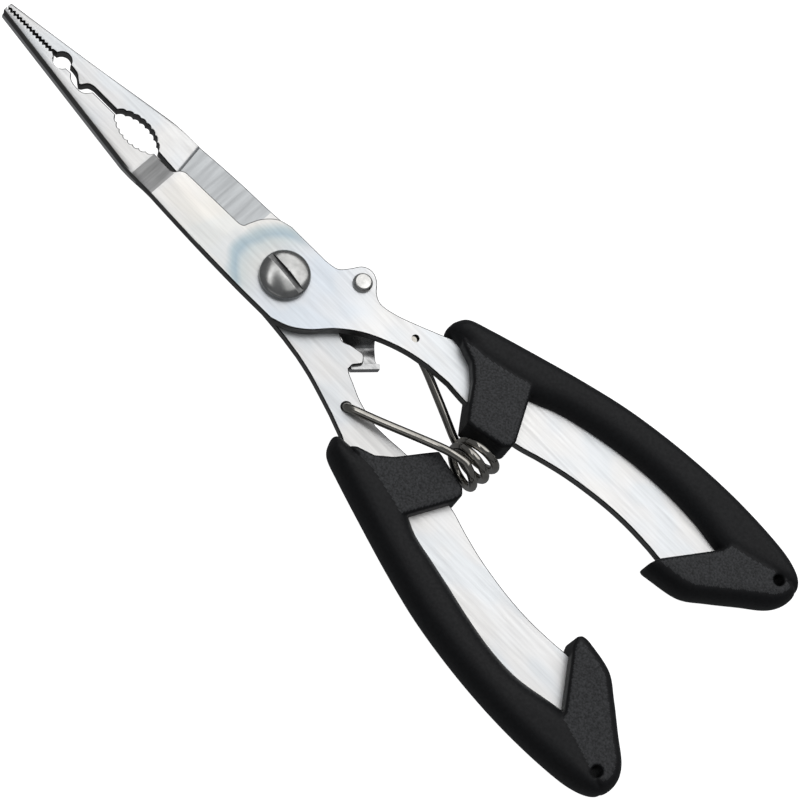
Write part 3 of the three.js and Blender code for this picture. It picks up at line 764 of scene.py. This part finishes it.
# ---------- latch ----------
def latch():
    """A bent strip: a round end under the plate, an arm that steps down, and a hook turned up."""
    high, low = TOP_BOTTOM - LATCH_GAP, LOW_BOTTOM - 0.7
    end_r = 2.9
    side = [
        (-end_r, high), (2.5, high), (6, high), (7.4, high - 0.02), (8.3, high - 0.35),
        (9.35, (high + low) / 2), (10.4, low + 0.35), (11.2, low), (12.6, low), (13.9, low),
        (14.45, low + 0.1), (14.6, low + 0.55), (14.6, high - 1.6), (14.6, high - 0.9),
    ]
    line = spline(side, 6)
    stations = []
    # Widths to each side of the middle: a round end, a shoulder on the left, a narrower arm, and the tab.
    for i, (s, z) in enumerate(line):
        before, after = line[max(i - 1, 0)], line[min(i + 1, len(line) - 1)]
        along = Vector((after[0] - before[0], after[1] - before[1])).normalized()
        below = Vector((along.y, -along.x))
        if s < 0:
            right = left = math.sqrt(max(end_r**2 - s**2, 0.05))
        else:
            right = max(2.55, math.sqrt(max(end_r**2 - s**2, 0)))
            left = eased(s, 0, 4.2, end_r, 4.45) if s < 8.6 else eased(s, 8.6, 11.4, 4.45, 2.3)
        right, left = eased(s, 13.3, 14.3, right, 2.95), eased(s, 13.3, 14.3, left, 2.5)
        stations.append((s, z, below, left, right))
    bm = bmesh.new()
    rings = []
    sheet, edge = LATCH_SHEET, 0.14
    for s, z, below, left, right in stations:
        section = [
            (-left + edge, 0), (right - edge, 0), (right, edge), (right, sheet - edge),
            (right - edge, sheet), (-left + edge, sheet), (-left, sheet - edge), (-left, edge),
        ]
        rings.append([bm.verts.new((s + below.x * depth, w, z + below.y * depth)) for w, depth in section])
    for a, b in zip(rings, rings[1:]):
        for i in range(8):
            bm.faces.new([a[i], a[(i + 1) % 8], b[(i + 1) % 8], b[i]])
    bm.faces.new(rings[0])
    bm.faces.new(rings[-1][::-1])
    bm.transform(Matrix.Translation((*RIVET, 0)) @ Matrix.Rotation(LATCH_TURN, 4, "Z"))
    mesh = finish_mesh(bm, "latch_strip")
    shade(mesh, 40)
    return add_object("latch_strip", mesh, [LATCH])


# ---------- spring ----------
LOW_FOOT, TOP_FOOT = (-44.6, 2.5, 12.1), (-45.2, -2.9, 2.6)  # where the legs meet the coil


def spring_line():
    """The middle of the wire, from the lower plate's hole by way of the coil to the upper plate's hole.

    The coil's turns fan out a little: each lies further round a large ring about a centre near the pivot."""
    coil_z, rise, radius = 7.0, 5.1, 3.9
    ring, centre, start, pitch = 12.6, (-35.75, -1.9), 0.3, 0.168
    turns, steps = 2.5, 24

    def turn(count):
        around = math.pi / 2 - 2 * math.pi * count
        fan = start - pitch * count
        out = ring + radius * math.cos(around)
        x, y = centre[0] - out * math.cos(fan), centre[1] + out * math.sin(fan)
        return (x, y, coil_z + rise * math.sin(around))

    (low_x, low_y), (top_x, top_y) = SPRING_HOLE_LOW, SPRING_HOLE_TOP
    line = [
        (low_x, low_y, LOW_BOTTOM + 0.5), (low_x, low_y, LOW_TOP - 0.4), (low_x - 0.8, low_y, LOW_TOP + 0.92),
        (-31.6, 6.7, 8.7), (-37.1, 4.85, 10.2), (-41.7, 3.4, 11.6), LOW_FOOT,
    ]
    line += [turn(i / steps) for i in range(int(turns * steps) + 1)]
    line += [
        TOP_FOOT, (-43.0, -3.1, 3.3), (-39.1, -4.6, 4.0), (-35.5, -6.0, 4.6), (-30.0, -8.1, 5.4),
        (top_x - 0.9, top_y + 0.2, 5.6), (top_x, top_y, TOP_BOTTOM + 0.5), (top_x, top_y, TOP_TOP - 0.9),
    ]
    return spline(line, 4)


def wire_piece(name, points):
    """Round wire along the points."""
    curve = bpy.data.curves.new("wire", "CURVE")
    curve.dimensions = "3D"
    curve.bevel_depth = WIRE_R
    curve.bevel_resolution = 5
    curve.use_fill_caps = True
    poly = curve.splines.new("POLY")
    poly.points.add(len(points) - 1)
    for point, place in zip(poly.points, points):
        point.co = (*place, 1)
    mesh = mesh_of_curve(curve)
    mesh.transform(Matrix.Scale(MM, 4))
    shade(mesh, 50)
    return add_object(name, mesh, [WIRE])


def past_foot(hole, foot):
    """The hole's place, and one as far beyond the foot, in metres."""
    hole, foot = Vector((*hole, 0)) * MM, Vector((*foot[:2], 0)) * MM
    return tuple(hole), tuple(2 * foot - hole)


def spring():
    """The spring in three lengths of wire: the lower leg, the coil and the upper leg."""
    points = spring_line()
    low, top = points.index(LOW_FOOT), points.index(TOP_FOOT)
    leg_low = wire_piece("spring_leg_low", points[:low + 1])
    coil = wire_piece("spring_coil", points[low:top + 1])
    leg_top = wire_piece("spring_leg_top", points[top:])
    in_low_plate, beyond_low = past_foot(SPRING_HOLE_LOW, LOW_FOOT)
    in_top_plate, beyond_top = past_foot(SPRING_HOLE_TOP, TOP_FOOT)
    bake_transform(leg_low)
    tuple(beyond_low)
    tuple(in_low_plate)
    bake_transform(leg_top)
    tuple(in_top_plate)
    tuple(beyond_top)
    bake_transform(coil)  # the coil's place baked into its mesh, like the legs
    return [coil, leg_low, leg_top]


# ---------- grips ----------
# The upper grip's outline from its front, round the outside, to its rear block. The lower grip mirrors it.
GRIP_OUTSIDE = [
    (-27.8, -16.9), (-29.2, -19.2), (-33.6, -20.9), (-43, -23.9), (-52, -26.6), (-61, -28.9), (-70, -30.4),
    (-79, -31.3), (-88, -31.6), (-97, -31.2), (-102.8, -30.3), (-106.4, -28.4), (-107.3, -25.1),
    (-105.8, -21.8), (-101.6, -18.2), (-96.9, -14.2), (-92.6, -11.0), (-86.2, -9.7),
]
GRIP_CLOSING = [(-70, -6.9), (-32, 4), (-27.5, 4)]
STRIP_INSIDE = [
    (8, -17), (-20, -15.6), (-28.6, -14.7), (-31.8, -14.4), (-36, -13.6), (-47, -16.4), (-53, -18.9),
    (-60, -20.8), (-68.6, -22.3), (-77, -22.9), (-84.8, -22.7), (-91.5, -21.8), (-96, -22.4),
    (-103, -24.6), (-114, -30),
]
STRIP_CLOSING = [(-114, -45), (10, -45)]
STRIP_INSIDE_LOW = [
    (8, -17), (-20, -15.6), (-28.6, -14.7), (-31.8, -14.4), (-36, -13.6), (-46, -15.7), (-51, -17.7),
    (-56, -18.8), (-61.5, -20.0), (-68, -21.5), (-75, -22.7), (-82, -22.9), (-91.5, -21.3), (-96, -22.2),
    (-103, -24.6), (-114, -30),
]
FRONT_BLOCK = [
    (-31.0, -15.3), (-32.0, -14.3), (-35.4, -13.1), (-38.1, -10.6), (-41.3, -6.1), (-43.0, -3.8),
    (-50.6, -5.5), (-51.7, -6.6), (-51.6, -8.1), (-46.3, -18.6), (-42.1, -17.4), (-37.5, -16.4),
    (-33.1, -15.6),
]
REAR_BLOCK = [
    (-88, -5), (-86.0, -8.3), (-84.8, -9.0), (-84.2, -10.1), (-84.9, -11.9), (-91.8, -21.6),
    (-93, -26), (-112, -27), (-112, -5),
]


def inside_distance(points, outline):
    """Distance of each point from a closed outline, positive inside it."""
    p = points[:, None, :]
    a = np.array(outline)[None]
    b = np.roll(a, -1, axis=1)
    best = np.full(len(points), 1e9)
    inside = np.zeros(len(points), bool)
    for k in range(a.shape[1]):
        s, e = a[:, k], b[:, k]
        d = e - s
        t = np.clip(((p[:, 0] - s) * d).sum(1) / max((d * d).sum(), 1e-12), 0, 1)
        near = s + t[:, None] * d
        best = np.minimum(best, np.hypot(*(p[:, 0] - near).T))
        crosses = (s[0, 1] > p[:, 0, 1]) != (e[0, 1] > p[:, 0, 1])
        with np.errstate(divide="ignore", invalid="ignore"):
            at = s[0, 0] + (p[:, 0, 1] - s[0, 1]) / (e[0, 1] - s[0, 1]) * (e[0, 0] - s[0, 0])
        inside ^= crosses & (p[:, 0, 0] < at)
    return np.where(inside, best, -best)


def soft_min(a, b, size):
    """The lesser of two distances, blended where they differ by less than the size."""
    h = np.clip(0.5 + 0.5 * (b - a) / size, 0, 1)
    return b * (1 - h) + a * h - size * h * (1 - h)


def rounded_min(a, b, radius):
    """The lesser of two distances, with the corner between them rounded."""
    corner = radius - np.hypot(np.maximum(radius - a, 0), np.maximum(radius - b, 0))
    return np.where((a < radius) & (b < radius), corner, np.minimum(a, b))


CROWN_DEPTH = 3.5  # depth at the middle of a grip's crowned wall


def crowned(inside, height, reach, power):
    """Depth inside a wall that rounds over towards height 1, within a reach of its outline."""
    slope = np.power(np.clip((reach - inside) / reach, 0, 3), power) + np.power(height, power)
    return (1 - np.power(slope, 1 / power)) * CROWN_DEPTH


def grip_solid(plan, shape, height, outside, inside, mirror, hole_mirror):
    """Distance inside the grip, positive within it, on a grid of plan points and heights off its middle."""
    def on_grid(outline):
        return inside_distance(plan, outline).reshape(shape)[:, :, None]

    skin = on_grid(outside) + 0.28
    strip, front, rear = on_grid(inside), on_grid(mirror(FRONT_BLOCK)), on_grid(mirror(REAR_BLOCK))
    body = crowned(skin, height / GRIP_HALF, CROWN_DEPTH, 2.2)
    above_plate = np.clip(height - PLATE / 2, 0, None) / (GRIP_HALF - PLATE / 2)
    ridge = soft_min(body, crowned(strip, above_plate, 4.0, 2.0), 0.8)
    block_top = GRIP_HALF - BLOCK_DROP - height
    block = np.maximum(rounded_min(front, block_top, 0.9), rounded_min(rear, block_top, 0.9))
    solid = np.maximum(ridge, soft_min(block, body, 0.7))
    (hole_x, hole_y), = mirror([LANYARD], hole_mirror)
    hole = np.hypot(plan[:, 0] - hole_x, plan[:, 1] - hole_y).reshape(shape)[:, :, None] - LANYARD_R
    return rounded_min(solid, np.broadcast_to(hole, solid.shape), 0.35)


def grip(name, mirror, middle, strip_line, hole_mirror, step=0.3):
    """A moulded grip: an outside strip with a soft ridge and a textured block at each end."""
    outside = mirror(spline(GRIP_OUTSIDE, 6), GRIP_MID) + mirror(GRIP_CLOSING, GRIP_MID)
    inside = mirror(spline(strip_line, 6)) + mirror(STRIP_CLOSING)
    ys = [y for _, y in outside]
    x_low, x_high = -109.0, -26.5
    on_minus_side = sum(ys) < 0
    y_low, y_high = (min(ys) - 1, -3.5) if on_minus_side else (2.5, max(ys) + 1)
    xs = np.arange(x_low, x_high, step)
    ys = np.arange(y_low, y_high, step)
    zs = np.arange(middle - GRIP_HALF - 0.9, middle + GRIP_HALF + 0.9, step)
    plan = np.stack(np.meshgrid(xs, ys, indexing="ij"), -1).reshape(-1, 2)
    height = np.abs(zs - middle)[None, None, :]
    solid = grip_solid(plan, (len(xs), len(ys)), height, outside, inside, mirror, hole_mirror)

    grid = openvdb.FloatGrid()
    grid.background = 3.0
    grid.copyFromArray(np.ascontiguousarray(np.clip(-solid, -3, 3).astype(np.float32)))
    points, quads = grid.convertToQuads(isovalue=0.0)
    points = points * step + np.array([x_low, y_low, zs[0]])
    mesh = bpy.data.meshes.new(name)
    mesh.from_pydata((points * MM).tolist(), [], [tuple(int(i) for i in q) for q in quads])
    mesh.validate()
    obj = add_object(name, mesh, [SMOOTH, TEXTURED])
    smooth = obj.modifiers.new("smooth", "SMOOTH")
    smooth.factor = 0.5
    smooth.iterations = 3
    apply_modifiers(obj)
    face_outwards(obj.data)
    obj.data.shade_smooth()
    paint_blocks(obj.data, mirror, inside, middle)
    return obj


def face_outwards(mesh):
    """Turns the front of every face outwards."""
    bm = bmesh.new()
    bm.from_mesh(mesh)
    bmesh.ops.recalc_face_normals(bm, faces=bm.faces)
    bm.to_mesh(mesh)
    bm.free()


def paint_blocks(mesh, mirror, inside, middle):
    """The textured material on the flat tops of the two end blocks."""
    centres = np.array([p.center for p in mesh.polygons]) / MM
    normals = np.array([p.normal for p in mesh.polygons])
    plan = centres[:, :2]
    from_block_edge = np.maximum(
        inside_distance(plan, mirror(FRONT_BLOCK)), inside_distance(plan, mirror(REAR_BLOCK))
    )
    off_block_top = np.abs(np.abs(centres[:, 2] - middle) - GRIP_HALF + BLOCK_DROP)
    flat = (np.abs(normals[:, 2]) > 0.86) & (off_block_top < 0.2)
    beside_ridge = inside_distance(plan, inside) < 1.7
    textured = (from_block_edge > 0.35) & flat & beside_ridge
    mesh.polygons.foreach_set("material_index", textured.astype(np.int32))
    mesh.update()


# ---------- the pliers ----------
def put(obj, body, node):
    """Attaches a piece to its body, in place of its CAD node."""
    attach(obj, body)
    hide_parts(node)


put(top_plate(), "upper_half", "jaw_plate_top")
put(low_plate(), "lower_half", "jaw_plate_bottom")
put(screw(), "upper_half", "pivot_screw")
put(washer(), "upper_half", "pivot_washer")
put(nut(), "upper_half", "pivot_nut")
put(rivet(), "upper_half", "latch_rivet")
put(latch(), "latch", "lock_latch")
top_grip = grip("grip_shell_top", as_drawn, TOP_BOTTOM + PLATE / 2, STRIP_INSIDE, GRIP_MID)
low_grip = grip("grip_shell_bottom", mirrored, LOW_BOTTOM + PLATE / 2, STRIP_INSIDE_LOW, HANDLE_MID)
put(top_grip, "upper_half", "grip_top")
put(low_grip, "lower_half", "grip_bottom")
for wire in spring():
    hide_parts("return_spring")


# ---------- stage ----------
def floor():
    """A plain white ground like the photo's. It glows by itself, lights nothing and isn't reflected."""
    mat, nodes, links, shader = new_material("floor_white")
    cloud = stretched_noise(nodes, links, (0.004, 0.004, 0.004), detail=2)
    colour = ramp(nodes, links, cloud.outputs["Fac"], [(0.3, grey(0.5)), (0.7, grey(0.54))])
    links.new(colour.outputs["Color"], shader.inputs["Base Color"])
    shader.inputs["Roughness"].default_value = 1.0
    shader.inputs["Specular IOR Level"].default_value = 0.0
    shader.inputs["Emission Color"].default_value = (1, 1, 1, 1)
    shader.inputs["Emission Strength"].default_value = 1.0
    mesh = bpy.data.meshes.new("floor")
    size = 3.0
    corners = [(-size, -size, 0), (size, -size, 0), (size, size, 0), (-size, size, 0)]
    mesh.from_pydata(corners, [], [(0, 1, 2, 3)])
    obj = add_object("floor", mesh, [mat])
    obj.location.z = -0.0002
    obj.visible_glossy = False
    obj.visible_diffuse = False


def soft_light(name, direction, distance, width, height, power, target=(-0.02, 0, 0)):
    """A rectangular light that faces the target from a direction and a distance."""
    data = bpy.data.lights.new(name, "AREA")
    data.shape = "RECTANGLE"
    data.size, data.size_y = width, height
    data.energy = power
    obj = bpy.data.objects.new(name, data)
    away = Vector(direction).normalized()
    obj.location = Vector(target) + away * distance
    obj.rotation_euler = away.to_track_quat("Z", "Y").to_euler()
    bpy.context.scene.collection.objects.link(obj)


def world():
    made = bpy.data.worlds.new("studio")
    bpy.context.scene.world = made
    made.use_nodes = True
    background = made.node_tree.nodes["Background"]
    background.inputs["Color"].default_value = (0.95, 0.97, 1.0, 1)
    background.inputs["Strength"].default_value = 0.14


def camera():
    """The photo's viewing angle and perspective."""
    data = bpy.data.cameras.new("camera")
    data.sensor_width = 36
    data.lens = 107.97
    obj = bpy.data.objects.new("camera", data)
    obj.location = (-0.06508, 0.15002, 0.41959)
    obj.rotation_euler = Euler([math.radians(a) for a in (17.301, -10.978, -135.756)], "XYZ")
    data.clip_start = 0.02
    bpy.context.scene.collection.objects.link(obj)
    bpy.context.scene.camera = obj


floor()
world()
camera()
soft_light("key", (0.12, -0.58, 0.79), 0.9, 1.2, 0.8, 3.3)
soft_light("top", (-0.12, -0.2, 1.0), 0.95, 0.6, 0.36, 0.4)
soft_light("side", (-0.2, 0.9, 0.5), 1.0, 0.9, 0.2, 0.12)
soft_light("overhead", (0.4, 0.14, 0.9), 0.85, 0.5, 0.16, 0.4, (-0.035, 0, 0))
bpy.context.scene.view_settings.view_transform = "Standard"
